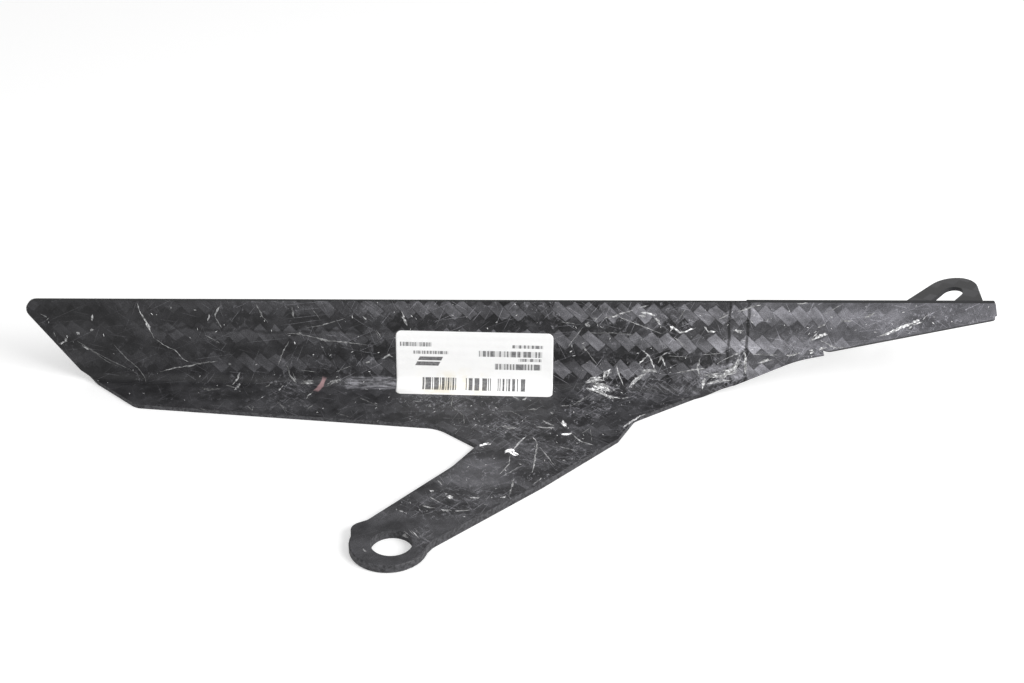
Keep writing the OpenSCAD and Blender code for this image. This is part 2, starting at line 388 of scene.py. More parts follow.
# Ground tone, darkest at the wide end and lighter towards the right. It is lightest on the wall past
# the seam, where extra plies lie behind it. This lightening is painted sheen for the lamp on the
# right glancing off the wall. The far tip falls darker again.
DARK = 0.029
MIDDLE_SHEEN = 0.025
WALL_SHEEN = 0.048
END_SHEEN = 0.06
END_FALL = 0.035
FLANGE_RISE = 0.004
ARM_RISE = 0.01
ground_and_sheen = DARK + u.ramp(-110, -50) * MIDDLE_SHEEN + on_wall * u.ramp(-30, 60) * WALL_SHEEN
ground_and_sheen = ground_and_sheen + on_wall * (u.ramp(98, 112) * END_SHEEN - u.ramp(138, 190) * END_FALL)
ground_and_sheen = ground_and_sheen + (1 - on_wall) * FLANGE_RISE + on_arm * ARM_RISE

# How clearly the weave shows, and how light each float is. The warp floats are painted light and
# the weft floats dark: a painted sheen for the tows' fibres catching the light. Each float is also
# painted lighter towards its edges. The sheen shows clearest on the wall from the middle to the
# right, and fades at the far end.
WARP_SHEEN_TONE = 1.05
WARP_SPREAD = 0.95
WEFT_SHADE_TONE = 0.2
WEFT_SPREAD = 0.28
clear = (u.ramp(-95, 25) * 0.6 + 0.38) * (on_wall * 0.55 + 0.45) * u.ramp(180, 100)
clear = clear * (1 - by_eye) * patchy.ramp(0.25, 0.48)
weave_and_sheen = warp * (WARP_SHEEN_TONE + each_float * WARP_SPREAD) + weft * (WEFT_SHADE_TONE + each_float * WEFT_SPREAD)
float_sheen = 0.8 + 0.4 * across * each_float
rows = noise(carbon, flat, 0.12, 2, 0.5, (0.12, 1, 1)).ramp(0.3, 0.62)
weave_and_sheen = weave_and_sheen * (body * 0.6 + 0.4) * float_sheen * (0.6 + rows * 0.55)
tone = ground_and_sheen * (1 + clear * (weave_and_sheen - 1))
tone = tone * (mottle.ramp(0.36, 0.64) * 0.9 + 0.55) * (grain.ramp(0.36, 0.64) * 0.8 + 0.6)
tone = tone * (threads * 0.22 * clear + 0.89)

# A painted shade darkening the crease of the fold, a wavy groove along the wall and a scuff on the
# arm
GROOVE_V = 20.9
GROOVE_SWING = 9
SCUFF_U = 25
SCUFF_V = -51
SCUFF_WIDE = 130
SCUFF_DEEP = 90
SCUFF_PALE = 0.08
fold_shade = v.band(-1.0, 3.6, 1.6) * u.ramp(-10, -50)
wave = v - GROOVE_V - (noise(carbon, flat, 0.08, 3, 0.6, (1, 0.2, 1)) - 0.5) * GROOVE_SWING
groove = abs(wave).ramp(0.9, 0.2) * u.band(-92, -8, 6.0)
tone = tone * (1 - fold_shade * 0.35) * (1 - groove * 0.5)
from_u = u - SCUFF_U
from_v = v - SCUFF_V
arm_scuff = (from_u * from_u / SCUFF_WIDE + from_v * from_v / SCUFF_DEEP).ramp(1.3, 0.2)
tone = tone + arm_scuff * SCUFF_PALE * (grain + patchy - 0.2)

# Where the face is worn through to loose fibre: centre, half sizes and how badly
WORN_ZONES = (
    (-43, -4, 7, 8, 0.5), (-63, 2, 2, 3, 0.6), (35, -23, 10, 8, 0.6),
    (10, -6, 10, 5, 0.5), (64, 3, 6, 4, 1.0), (79, 10, 4, 5, 0.4),
    (89, 28, 7, 5, 0.6), (105, 6, 7, 4, 0.7), (60, -9, 7, 8, 0.6),
    (74, -21, 4, 5, 0.7), (111, 15, 2, 6, 0.8), (134, 20, 9, 4, 0.4),
    (163, 28, 8, 3, 0.5), (18, -67, 9, 9, 0.5), (41, -36, 7, 11, 0.5),
    (54, -40, 6, 8, 0.4), (9, -87, 3, 7, 0.5), (-17, 29, 9, 4, 0.3),
)
LINT_TURNS = (35, -50)
zone = 0.0
for at_u, at_v, half_u, half_v, bad in WORN_ZONES:
    from_u = (u - at_u) / half_u
    from_v = (v - at_v) / half_v
    reach = from_u * from_u + from_v * from_v
    worn_here = (reach + stray * 0.4).ramp(1.6, 0.3) * bad
    zone = worn_here.most(zone)
slanted, crossed = (
    carbon.node(
        "VectorRotate", {"rotation_type": "Z_AXIS"}, "Vector", Vector=flat, Angle=math.radians(turn)
    ) for turn in LINT_TURNS
)
lint = noise(carbon, slanted, 0.6, 6, 0.75, (0.4, 1.5, 1))
lint = lint.most(noise(carbon, crossed, 0.6, 6, 0.75, (0.35, 1.6, 1)) - 0.01)
torn = lint.ramp(0.54, 0.62) * zone
tone = tone * (1 - zone * lint.ramp(0.51, 0.46) * 0.6)

# Seams of the overlapped plies: place along the guard, waver, half width and core
SEAMS = ((106.4, 0.8, 0.65, 0.25), (112.8, 1.0, 0.75, 0.3))
SEAM_DARK = 0.72
seam = 0.0
for at_u, waver, half_u, core in SEAMS:
    seam = abs(u - at_u + stray * waver).ramp(half_u, core).most(seam)
tone = tone * (1 - seam * on_wall * SEAM_DARK)

# The rubbed streaks in the fold, the crinkled strip beside it and the patch with a pale rim
STRIP_SLOPE = 0.2
PALE_SLOPE = 0.3
streak = u.band(-24.6, -5, 0.8) * (v + stray * 2).band(-0.5, 4.5, 0.5)
rubbed = u.band(-46, -24, 4.0) * (v + stray * 2).band(0.0, 3.0, 0.8) * 0.35
strip_v = v - (u - 73) * STRIP_SLOPE
strip = u.band(71, 98, 1.2) * (strip_v + stray * 3).band(-4.0, 3.6, 0.8)
pale_v = v - (u - 97) * PALE_SLOPE
pale = u.band(97, 113.5, 0.6) * (pale_v + stray * 2).band(3.0, 9.5, 0.6)
pale_rim = pale * (1 - u.band(98.6, 112.2, 0.5) * pale_v.band(4.3, 8.2, 0.5))
tone = tone + streak * (fibre.ramp(0.45, 0.6) * 0.24 + 0.02) + rubbed * fibre.ramp(0.48, 0.7) * 0.2
tone = tone + strip * lint.ramp(0.52, 0.61) * 0.14 + pale_rim * crinkle.ramp(0.43, 0.55) * 0.2

# Fine scratches: direction in degrees, length, half width, share of the cells and start
SCRATCHES = (
    (24, 15, 0.12, 0.28, 3.1), (63, 9, 0.11, 0.24, 17.3), (-38, 11, 0.12, 0.22, 31.9),
    (-72, 8, 0.1, 0.2, 47.2), (6, 17, 0.11, 0.24, 61.5), (45, 6, 0.16, 0.2, 83.3),
    (-15, 7, 0.15, 0.2, 99.1),
)
SCRATCH_PALE = 0.36
dense = u.ramp(-90, 20) * 0.6 + 0.2 + (1 - on_wall) * 0.2
scratch = 0.0
for angle, length, width, share, start in SCRATCHES:
    scratch = scratches(carbon, flat, angle, length, width, share, start).most(scratch)
scratch = scratch * dense * (1 - by_eye * 0.8) * patchy.ramp(0.3, 0.55)
scratch = scratch * grain.ramp(0.3, 0.55) * (0.6 + on_wall * 0.4)
frayed = noise(carbon, flat, 0.55, 7, 0.8, (1, 0.7, 1)).ramp(0.55, 0.61) * dense
frayed = frayed * scuffed.ramp(0.46, 0.62) * (1 - by_eye)
inside = tone * 0.88 + scratch * SCRATCH_PALE + frayed * (0.05 + grain * 0.3)
inside = inside + torn * (0.08 + grain.ramp(0.4, 0.65) * 0.34)

# The smooth outer side and the cut edges, slightly blue, and the pinkish mark in the fold
COOL = 1.07
PINK = (0.40, 0.25, 0.26)
PINK_AT = (-33.2, 0.6)
PINK_HALF = (3.5, 1.0)
PINK_LEAN = (0.36, 0.93)
# On the outer side too, the warp floats are painted lighter: a painted sheen of the tows.
outside = 0.011 + warp * body * (0.016 + each_float * 0.014) + threads * 0.005
cut_grain = noise(carbon, solid, 900, 4, 0.7)
cut = 0.012 + v.ramp(2, -2) * 0.05 * (0.3 + cut_grain.ramp(0.4, 0.6)) + far * cut_grain * 0.02
face = is_inner * inside + (1 - is_inner) * outside
grey = is_edge * cut + (1 - is_edge) * face
plain = carbon.node(
    "CombineColor", None, "Color", Red=grey, Green=grey * 0.99, Blue=grey * (COOL + far * 0.02)
)
from_u = u - PINK_AT[0]
from_v = v - PINK_AT[1]
pink_along = from_u * PINK_LEAN[0] + from_v * PINK_LEAN[1]
pink_across = from_u * PINK_LEAN[1] - from_v * PINK_LEAN[0]
pink = abs(pink_along) / PINK_HALF[0]
pink = pink.most(abs(pink_across + stray * 1.5) / PINK_HALF[1]).ramp(1.1, 0.7)
pink = pink * is_inner * (0.5 + crinkle * 0.6)
colour = carbon.mix(pink, plain, PINK)

# Finish. The inner face is dull and rough; the outer side keeps its clear coat
INNER_ROUGH = 0.48
OUTER_ROUGH = 0.22
ARRIS_R = 0.18
dull = is_inner + is_edge * 0.8
roughness = dull * (INNER_ROUGH + mottle * 0.2 - clear * warp * 0.06) + (1 - dull) * OUTER_ROUGH
coat = (1 - is_inner - is_edge).most(0.0)
bump_height = is_inner * (
    crown * 0.06 * (clear + 0.25) + grain * 0.035 + threads * 0.01 + scratch * 0.03
    + (streak + strip) * crinkle * 0.12 - seam * on_wall * 0.12
) + is_edge * cut_grain * 0.05
rounded = carbon.node("Bevel", {"samples": 4}, "Normal", Radius=ARRIS_R * MM)
bump = carbon.node(
    "Bump", None, "Normal", Strength=0.9, Distance=MM, Height=bump_height, Normal=rounded
)
laminate = carbon.finish(carbon.node(
    "BsdfPrincipled", None, "BSDF", Base_Color=colour, Roughness=roughness, Specular_IOR_Level=0.3,
    Coat_Weight=coat, Coat_Roughness=0.05, Normal=bump
))
skin.materials.clear()
skin.materials.append(laminate)
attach(shell, "root")
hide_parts("guard_shell")


# Label. A thin paper sticker on the wall and round the fold, lightly creased. Its underside is
# sunk a little into the laminate, so that no gap shows under it.
LABEL_LEFT = -7.0
LABEL_WIDTH = 54.0
LABEL_LOW = -3.0
LABEL_HIGH = WALL_V + 18.0
LABEL_R = 2.0
LABEL_UP = 0.11
LABEL_DIP = 0.14
LABEL_STEPS = (120, 64)
CREASE = 0.02
RIPPLE = 0.015


def on_sheet(u, v, lift):
    """Points on the inner face at (u, v), lifted off it towards the inside."""
    angle = np.clip(v / FOLD_R, 0, FOLD_TURN)
    radius = FOLD_R - lift
    past = np.maximum(v - WALL_V, 0)
    y = FOLD_Y + np.minimum(v, 0) + radius * np.sin(angle) + past * WALL_UP[1]
    z = FOLD_Z - radius * np.cos(angle) + past * WALL_UP[2]
    return np.stack([u, y, z], -1) * MM


across_steps = np.linspace(-1, 1, LABEL_STEPS[0] + 1)
down = 0.5 - 0.5 * np.cos(np.linspace(0, math.pi, LABEL_STEPS[1] + 1))
label_v = LABEL_HIGH - down * (LABEL_HIGH - LABEL_LOW)
from_end = np.minimum(label_v - LABEL_LOW, LABEL_HIGH - label_v).clip(0, LABEL_R)
half = LABEL_WIDTH / 2 - LABEL_R + np.sqrt(LABEL_R ** 2 - (LABEL_R - from_end) ** 2)
grid_u = LABEL_LEFT + LABEL_WIDTH / 2 + half[:, None] * across_steps[None, :]
grid_v = np.repeat(label_v[:, None], LABEL_STEPS[0] + 1, 1)
crease = CREASE * np.sin(grid_u * 0.45 + 1.3 * np.sin(grid_v * 0.5))
crease = crease + RIPPLE * np.sin(grid_v * 2.2)

# Top and underside have the same grid; faces join each grid and then the rim of the two
rows, cols = grid_u.shape
top = on_sheet(grid_u, grid_v, LABEL_UP + crease).reshape(-1, 3)
under = on_sheet(grid_u, grid_v, np.full_like(grid_u, -LABEL_DIP)).reshape(-1, 3)
count = rows * cols
faces = []
for r in range(rows - 1):
    for c in range(cols - 1):
        a = r * cols + c
        faces.append((a, a + cols, a + cols + 1, a + 1))
        faces.append((count + a, count + a + 1, count + a + cols + 1, count + a + cols))
rim = list(range(cols))
rim += [r * cols + cols - 1 for r in range(1, rows)]
rim += [(rows - 1) * cols + c for c in range(cols - 2, -1, -1)]
rim += [r * cols for r in range(rows - 2, 0, -1)]
for a, b in zip(rim, rim[1:] + rim[:1]):
    faces.append((a, b, count + b, count + a))
paper_mesh = bpy.data.meshes.new("label paper")
paper_mesh.from_pydata(np.concatenate([top, under]).tolist(), [], faces)
sheet_at = np.stack([grid_u - LABEL_LEFT, LABEL_HIGH - grid_v], -1).reshape(-1, 2)
sheet_at = np.concatenate([sheet_at, sheet_at])
loops = np.empty(len(paper_mesh.loops), int)
paper_mesh.loops.foreach_get("vertex_index", loops)
layer = paper_mesh.uv_layers.new(name="print")
layer.data.foreach_set("uv", (sheet_at[loops] * MM).ravel())
paper_mesh.polygons.foreach_set("use_smooth", [True] * len(paper_mesh.polygons))
paper_mesh.update()
label = object_from("sticker", paper_mesh)

paper = Paint("label paper")
place = paper.node("UVMap", {"uv_map": "print"}, "UV")
flat = paper.node("VectorMath", {"operation": "SCALE"}, "Vector", Vector=place, Scale=1 / MM)
lu = part(paper, flat, "X")
ld = part(paper, flat, "Y")


# Print and soiling, in millimetres from the label's upper left corner: left, right, top, bottom
# and, for a line of words, the pitch of its strokes or, for a stain, how softly it ends
WORD_LINES = (
    (1.4, 12.2, 4.2, 5.8, 1.0), (6.0, 18.0, 7.4, 8.6, 0.9), (40.0, 50.6, 4.6, 5.8, 1.0),
    (28.5, 50.3, 7.0, 9.2, 1.7), (42.0, 50.0, 9.7, 10.8, 0.9), (34.0, 50.0, 11.8, 14.0, 1.7),
)
STROKES_PER_MM = 3.3
BARS = (8.5, 44.5, 17.5, 22.5)
BARS_PER_MM = 3.0
BARS_INKED = 0.52
STRIPES_WIDE = (13.0, 21.0)
STRIPES_HIGH = (9.6, 13.0)
STRIPES_APART = (11.0, 11.5)
STRIPES_LEAN = 0.5
STAIN = (10, 30, 17, 25.5, 4.0)
SMUDGE = (-2, 8, 21, 28, 3.0)
PAPER_WHITE = (0.98, 0.98, 0.975)
STAIN_TAN = (0.86, 0.79, 0.62)
DIRT_GREY = (0.25, 0.24, 0.22)
INK_BLACK = (0.03, 0.03, 0.035)


def block(left, right, high, low, soft=0.08):
    """1 inside an upright rectangle of the label."""
    return lu.band(left, right, soft) * ld.band(high, low, soft)


def rule(left, right, high, low, pitch):
    """A run of small upright strokes in place of a line of words."""
    stroke = pick(paper, (lu * STROKES_PER_MM / pitch).floor(), high)
    return block(left, right, high, low, 0.04) * (0.25 + stroke.ramp(0.35, 0.6) * 0.7)


ink = block(*BARS) * pick(paper, (lu * BARS_PER_MM).floor(), 0.0).under(BARS_INKED)
for line in WORD_LINES:
    ink = ink.most(rule(*line))
slant = lu + ld * STRIPES_LEAN
stripes = slant.band(*STRIPES_WIDE, 0.1) * ld.band(*STRIPES_HIGH, 0.1)
ink = ink.most(stripes * (1 - ld.band(*STRIPES_APART, 0.05)))
ink = ink * (noise(paper, flat, 1.2, 4, 0.6) * 0.5 + 0.6)
stain = block(*STAIN) * noise(paper, flat, 0.2, 4).ramp(0.44, 0.6)
dirt = noise(paper, flat, 0.5, 6, 0.75).ramp(0.6, 0.8) * 0.12 + block(*SMUDGE) * 0.18
sheet_white = paper.mix(stain * 0.8, PAPER_WHITE, STAIN_TAN)
soiled = paper.mix(dirt, sheet_white, DIRT_GREY)
printed = paper.mix(ink, soiled, INK_BLACK)
wrinkle = noise(paper, flat, 0.22, 3, 0.5)
paper_bump = paper.node("Bump", None, "Normal", Strength=0.35, Distance=MM, Height=wrinkle * 0.4)
paper_mesh.materials.append(paper.finish(paper.node(
    "BsdfPrincipled", None, "BSDF", Base_Color=printed, Roughness=0.45, Normal=paper_bump
)))
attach(label, "root")
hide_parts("label")


# Torn fibres. Strands torn from the worn inner face, bare and pale. Each mark was placed on the
# photo: its width in millimetres, how pale it is, and its line in the photo's pixels. A wide mark
# is a bundle of strands, and each strand is a thin closed ribbon, half sunk in the face.
STRAND_HEIGHT = 0.07
STRAND_STEP = 0.8
STRAND_WIDTH = 0.45
STRAND_WIDER = 1.45
STRAND_TIP = 0.1
STRAND_TRIM = 0.3
STRAND_DRIFT = 0.4
STRAND_RAGGED = (0.4, 1.3)
STRAND_DIM = (0.5, 1.15)
STRAND_SEED = 7
FACE_REACH = 6.0
ROOT_DEPTH = 0.14
STRANDS_OVERLAP = 1.3
ARM_PALER = 1.3
ARM_BELOW = -26.0
PHOTO_HEIGHT_PX = 683.0
MARKS = (
    (0.3, 0.28, (40, 314), (47, 317)),
    (0.5, 0.3, (54, 332), (55, 337)),
    (0.3, 0.42, (58, 344), (68, 341)),
    (0.8, 0.4, (65, 338), (67, 341)),
    (1.3, 0.42, (76, 333), (80, 333)),
    (0.2, 0.24, (77, 341), (100, 355), (118, 364), (131, 370), (145, 380)),
    (0.15, 0.2, (79, 342), (108, 362), (122, 368)),
    (0.4, 0.36, (82, 345), (89, 350)),
    (1.5, 0.36, (89, 330), (93, 328)),
    (0.7, 0.45, (92, 314), (92, 321)),
    (0.2, 0.28, (114, 345), (126, 358), (138, 368), (145, 378), (146, 384)),
    (0.35, 0.42, (137, 303), (141, 314), (146, 321), (150, 330), (154, 338)),
    (0.6, 0.5, (146, 321), (150, 330)),
    (0.25, 0.38, (154, 338), (167, 347), (175, 350), (183, 359), (189, 362)),
    (0.35, 0.42, (160, 372), (174, 368), (189, 366), (202, 363), (218, 361)),
    (1.1, 0.24, (198, 388), (210, 390), (222, 388)),
    (0.8, 0.26, (198, 407), (206, 410)),
    (0.2, 0.28, (205, 335), (220, 343)),
    (0.5, 0.45, (209, 314), (208, 321)),
    (0.25, 0.35, (215, 317), (222, 328)),
    (0.5, 0.5, (220, 306), (216, 312), (215, 317)),
    (0.5, 0.36, (226, 385), (236, 388)),
    (0.7, 0.4, (228, 364), (231, 363)),
    (0.5, 0.4, (232, 385), (238, 378), (240, 372)),
    (0.6, 0.42, (234, 391), (240, 384), (238, 378)),
    (0.35, 0.34, (247, 406), (252, 410)),
    (0.25, 0.34, (253, 406), (252, 411)),
    (0.4, 0.3, (256, 304), (262, 316), (268, 323)),
    (0.5, 0.3, (266, 387), (271, 383)),
    (0.35, 0.3, (277, 401), (287, 411)),
    (0.4, 0.46, (279, 391), (283, 385)),
    (0.3, 0.36, (287, 333), (304, 335), (317, 338), (329, 341), (343, 342), (367, 345)),
    (0.45, 0.32, (287, 365), (290, 376), (297, 383)),
    (0.3, 0.36, (289, 341), (283, 352), (279, 362), (278, 366)),
    (0.45, 0.36, (292, 307), (294, 318)),
    (0.3, 0.3, (292, 372), (296, 381)),
    (0.8, 0.36, (294, 334), (303, 334)),
    (0.2, 0.36, (299, 370), (317, 372)),
    (0.9, 0.36, (300, 382), (316, 382)),
    (0.25, 0.34, (304, 328), (319, 326), (336, 321), (347, 318)),
    (0.3, 0.4, (306, 399), (310, 393)),
    (0.35, 0.34, (307, 409), (313, 405)),
    (0.5, 0.38, (307, 396), (313, 392)),
    (0.2, 0.26, (310, 306), (321, 321)),
    (0.6, 0.42, (317, 338), (329, 341)),
    (1.2, 0.34, (326, 386), (333, 382), (346, 381)),
    (0.25, 0.34, (336, 372), (351, 366)),
    (0.25, 0.26, (336, 413), (350, 417)),
    (0.5, 0.26, (360, 398), (380, 407)),
    (0.4, 0.5, (363, 316), (366, 320)),
    (0.6, 0.26, (363, 548), (367, 552)),
    (0.8, 0.42, (364, 362), (371, 361)),
    (0.15, 0.3, (374, 330), (380, 338)),
    (0.2, 0.36, (376, 330), (381, 337)),
    (0.7, 0.46, (381, 360), (389, 355), (394, 358)),
    (0.6, 0.3, (398, 511), (404, 512)),
    (0.55, 0.42, (401, 309), (404, 319), (408, 327)),
    (0.2, 0.3, (402, 534), (408, 539)),
    (0.25, 0.34, (404, 531), (411, 537)),
    (0.2, 0.3, (408, 529), (415, 536)),
    (0.25, 0.32, (411, 530), (420, 539)),
    (0.4, 0.32, (413, 401), (423, 402)),
    (0.2, 0.24, (414, 528), (424, 538)),
    (0.6, 0.34, (420, 506), (436, 509)),
    (1.4, 0.38, (428, 406), (432, 406)),
    (1.4, 0.42, (429, 491), (434, 492)),
    (0.3, 0.3, (430, 497), (440, 503)),
    (0.5, 0.3, (438, 480), (442, 485)),
    (0.7, 0.42, (441, 510), (452, 511)),
    (1.5, 0.44, (446, 495), (455, 498)),
    (0.2, 0.26, (450, 408), (469, 408)),
    (0.35, 0.28, (453, 396), (451, 406), (464, 416), (464, 424)),
    (0.4, 0.38, (455, 511), (470, 510)),
    (0.7, 0.46, (466, 497), (482, 498)),
    (1.2, 0.75, (479, 446), (485, 444), (492, 443)),
    (0.3, 0.24, (487, 416), (497, 411), (511, 411), (523, 417)),
    (0.8, 0.46, (500, 425), (510, 428), (520, 428)),
    (0.6, 0.4, (500, 498), (508, 497)),
    (0.3, 0.3, (503, 476), (519, 467)),
    (1.3, 0.8, (504, 452), (511, 450), (513, 453), (519, 456)),
    (0.3, 0.36, (510, 456), (509, 464), (500, 474)),
    (0.35, 0.38, (511, 395), (521, 401)),
    (0.4, 0.4, (512, 451), (519, 443), (526, 436)),
    (0.4, 0.32, (514, 479), (509, 496)),
    (0.7, 0.46, (523, 401), (527, 397)),
    (0.9, 0.36, (527, 409), (539, 409)),
    (0.45, 0.36, (532, 436), (537, 442), (536, 453), (532, 473)),
    (0.45, 0.4, (536, 427), (555, 428)),
    (0.6, 0.46, (540, 419), (548, 423), (556, 427)),
    (0.3, 0.36, (540, 447), (547, 456), (555, 466)),
    (0.3, 0.3, (542, 478), (532, 485)),
    (1, 0.42, (550, 412), (554, 414)),
    (0.4, 0.3, (556, 446), (566, 448), (577, 451)),
    (0.4, 0.4, (560, 322), (575, 324)),
    (0.7, 0.4, (560, 406), (571, 406)),
    (1.1, 0.75, (561, 420), (567, 427)),
    (1.3, 0.8, (561, 435), (572, 434)),
    (0.25, 0.5, (568, 347), (583, 327)),
    (0.35, 0.36, (571, 406), (586, 397)),
    (0.5, 0.5, (572, 434), (582, 442), (594, 445)),
    (0.2, 0.3, (576, 405), (590, 394)),
    (0.2, 0.36, (582, 344), (587, 351), (598, 366)),
    (0.6, 0.36, (582, 344), (587, 351)),
    (2.2, 0.6, (584, 381), (592, 379), (600, 378), (606, 380)),
    (1.3, 0.42, (585, 326), (590, 324)),
    (1.2, 0.55, (586, 387), (600, 391), (612, 398), (615, 403)),
    (1.4, 0.72, (586, 386), (596, 388), (606, 389), (612, 393)),
    (0.25, 0.28, (589, 333), (612, 333), (636, 335)),
    (0.2, 0.34, (590, 427), (592, 442)),
    (0.25, 0.36, (590, 428), (582, 433)),
    (1.4, 0.5, (590, 384), (604, 386), (614, 392)),
    (0.8, 0.4, (594, 317), (598, 319)),
    (0.9, 0.6, (594, 390), (602, 394), (612, 397), (622, 399)),
    (0.5, 0.5, (598, 389), (594, 379)),
    (0.5, 0.5, (604, 318), (614, 317), (619, 314), (633, 310)),
    (1.4, 0.64, (604, 381), (606, 373), (612, 370)),
    (0.5, 0.55, (605, 393), (608, 386)),
    (0.5, 0.52, (617, 365), (619, 376), (624, 386)),
    (0.25, 0.46, (619, 317), (642, 326), (662, 334)),
    (0.8, 0.44, (621, 399), (629, 397)),
    (0.9, 0.6, (622, 429), (631, 423), (640, 418), (650, 415)),
    (2, 0.56, (628, 389), (632, 384), (637, 379), (646, 373)),
    (0.6, 0.55, (638, 312), (646, 313), (656, 316)),
    (0.35, 0.5, (639, 308), (649, 305)),
    (0.4, 0.56, (639, 364), (649, 354)),
    (1.3, 0.46, (640, 315), (647, 315)),
    (1.1, 0.5, (640, 372), (652, 371), (660, 373)),
    (0.35, 0.56, (642, 350), (649, 356), (656, 372)),
    (0.8, 0.5, (651, 318), (657, 319), (662, 326)),
    (0.45, 0.5, (658, 364), (661, 356), (665, 366)),
    (0.25, 0.46, (661, 356), (668, 352)),
    (0.2, 0.3, (668, 356), (689, 357)),
    (0.5, 0.62, (670, 332), (672, 326), (680, 333), (696, 328)),
    (1, 0.7, (671, 329), (673, 326)),
    (0.3, 0.34, (674, 337), (688, 349)),
    (0.4, 0.4, (676, 373), (705, 368)),
    (0.35, 0.36, (679, 319), (686, 308)),
    (0.2, 0.34, (700, 355), (726, 353)),
    (0.5, 0.4, (700, 358), (697, 369), (700, 377)),
    (1, 0.52, (702, 377), (712, 376), (722, 377), (733, 371), (738, 362), (742, 352)),
    (1.5, 0.56, (703, 377), (702, 384), (701, 391)),
    (0.9, 0.5, (703, 385), (718, 382), (734, 381)),
    (0.5, 0.56, (704, 326), (709, 332), (716, 331)),
    (0.4, 0.44, (704, 375), (722, 373)),
    (0.2, 0.5, (717, 364), (727, 358)),
    (0.3, 0.5, (719, 319), (730, 314)),
    (1.8, 0.48, (722, 372), (730, 372), (738, 370)),
    (0.3, 0.4, (723, 360), (745, 350)),
    (0.5, 0.36, (726, 368), (745, 362)),
    (0.7, 0.5, (733, 331), (741, 331)),
    (0.4, 0.46, (736, 312), (749, 308), (761, 305)),
    (1.1, 0.42, (736, 332), (744, 332)),
    (1.2, 0.54, (742, 351), (745, 356), (745, 366), (745, 376)),
    (0.8, 0.4, (745, 350), (747, 372)),
    (0.5, 0.4, (748, 308), (760, 305)),
    (0.25, 0.4, (750, 354), (764, 355), (778, 355)),
    (1, 0.44, (757, 363), (765, 360), (773, 359)),
    (0.6, 0.46, (778, 356), (795, 354), (807, 350)),
    (0.3, 0.42, (797, 304), (808, 303)),
    (1.5, 0.62, (808, 352), (814, 351)),
    (0.6, 0.56, (809, 342), (820, 336), (833, 332)),
    (0.3, 0.46, (809, 342), (818, 332), (819, 330)),
    (0.4, 0.36, (817, 328), (826, 324)),
    (0.9, 0.5, (818, 350), (827, 348)),
    (0.3, 0.42, (820, 340), (833, 347), (847, 348)),
    (0.2, 0.36, (824, 314), (843, 304)),
    (0.4, 0.42, (840, 321), (852, 321)),
    (0.7, 0.46, (862, 320), (876, 313)),
    (0.7, 0.62, (877, 338), (890, 333), (903, 327), (915, 323), (922, 320)),
    (0.5, 0.42, (908, 329), (912, 326)),
    (1.4, 0.66, (910, 324), (922, 320)),
    (0.25, 0.5, (922, 320), (931, 312)),
)


def seen_at(px, py):
    """The place on the unrolled sheet that shows at a point of the photo.

    Just past the outline, it is the place on the flange or the wall continued.
    """
    course = Vector((px - PHOTO_WIDTH_PX / 2, PHOTO_HEIGHT_PX / 2 - py, -LENS_PX))
    course.rotate(camera.rotation_euler)
    eye = camera.location
    hit = cad_tree.ray_cast(eye, course)[0]
    if hit:
        return hit.x / MM, unrolled(np.array([hit]) / MM)[0]
    spot = eye + course * ((SHEET * MM - eye.z) / course.z)
    if spot.y < FOLD_Y * MM:
        return spot.x / MM, spot.y / MM - FOLD_Y
    up = Vector(WALL_UP)
    out = Vector((0, -up.z, up.y))
    foot = Vector((0, FOLD_Y * MM, FOLD_Z * MM)) - out * (FOLD_R * MM)
    spot = eye + course * ((foot - eye).dot(out) / course.dot(out))
    return spot.x / MM, max(WALL_V + (spot - foot).dot(up) / MM, 0.0)


def on_face(u, v, lift):
    """Points on the inner face itself, also where the arm is thicker than the sheet."""
    above = on_sheet(u, v, np.full_like(u, FACE_REACH))
    below = on_sheet(u, v, np.zeros_like(u))
    points = []
    for start, end, up in zip(above, below, lift):
        course = Vector(start - end).normalized()
        hit = cad_tree.ray_cast(Vector(start), -course, 2 * FACE_REACH * MM)[0]
        points.append((hit if hit else Vector(end)) + course * (up * MM))
    return np.array(points)


def strand(width, line, aside, wobble):
    """Vertices, faces and dimness of one strand, with ends that taper to a point."""
    run = np.concatenate([[0], np.cumsum(np.hypot(*np.diff(line, axis=0).T))])
    count = max(4, int(run[-1] / STRAND_STEP))
    trim = wobble.uniform(0, STRAND_TRIM, 2) * (aside != 0)
    where = np.linspace(run[-1] * trim[0], run[-1] * (1 - trim[1]), count + 1)
    u = np.interp(where, run, line[:, 0])
    v = np.interp(where, run, line[:, 1])
    course = np.arctan2(np.gradient(v), np.gradient(u))
    taper = np.sin(np.linspace(0, math.pi, count + 1)) ** 0.5 * (1 - STRAND_TIP) + STRAND_TIP
    half = width * STRAND_WIDER / 2 * taper * wobble.uniform(*STRAND_RAGGED, count + 1)
    drift = aside + width * STRAND_DRIFT * wobble.uniform(-1, 1, count + 1)
    side_u, side_v = -np.sin(course), np.cos(course)
    rings = []
    for shift, lift in ((-1, 0.0), (0, STRAND_HEIGHT), (1, 0.0), (0, -ROOT_DEPTH)):
        across = drift + shift * half
        rings.append(on_face(u + side_u * across, v + side_v * across, np.full_like(u, lift)))
    verts = np.stack(rings, 1).reshape(-1, 3)
    faces = [(3, 2, 1, 0)]
    for i in range(count):
        for k in range(4):
            a, b = 4 * i + k, 4 * i + (k + 1) % 4
            faces.append((a, b, b + 4, a + 4))
    faces.append(tuple(4 * count + k for k in range(4)))
    dim = np.repeat(wobble.uniform(*STRAND_DIM, count + 1), 4)
    return verts, faces, dim


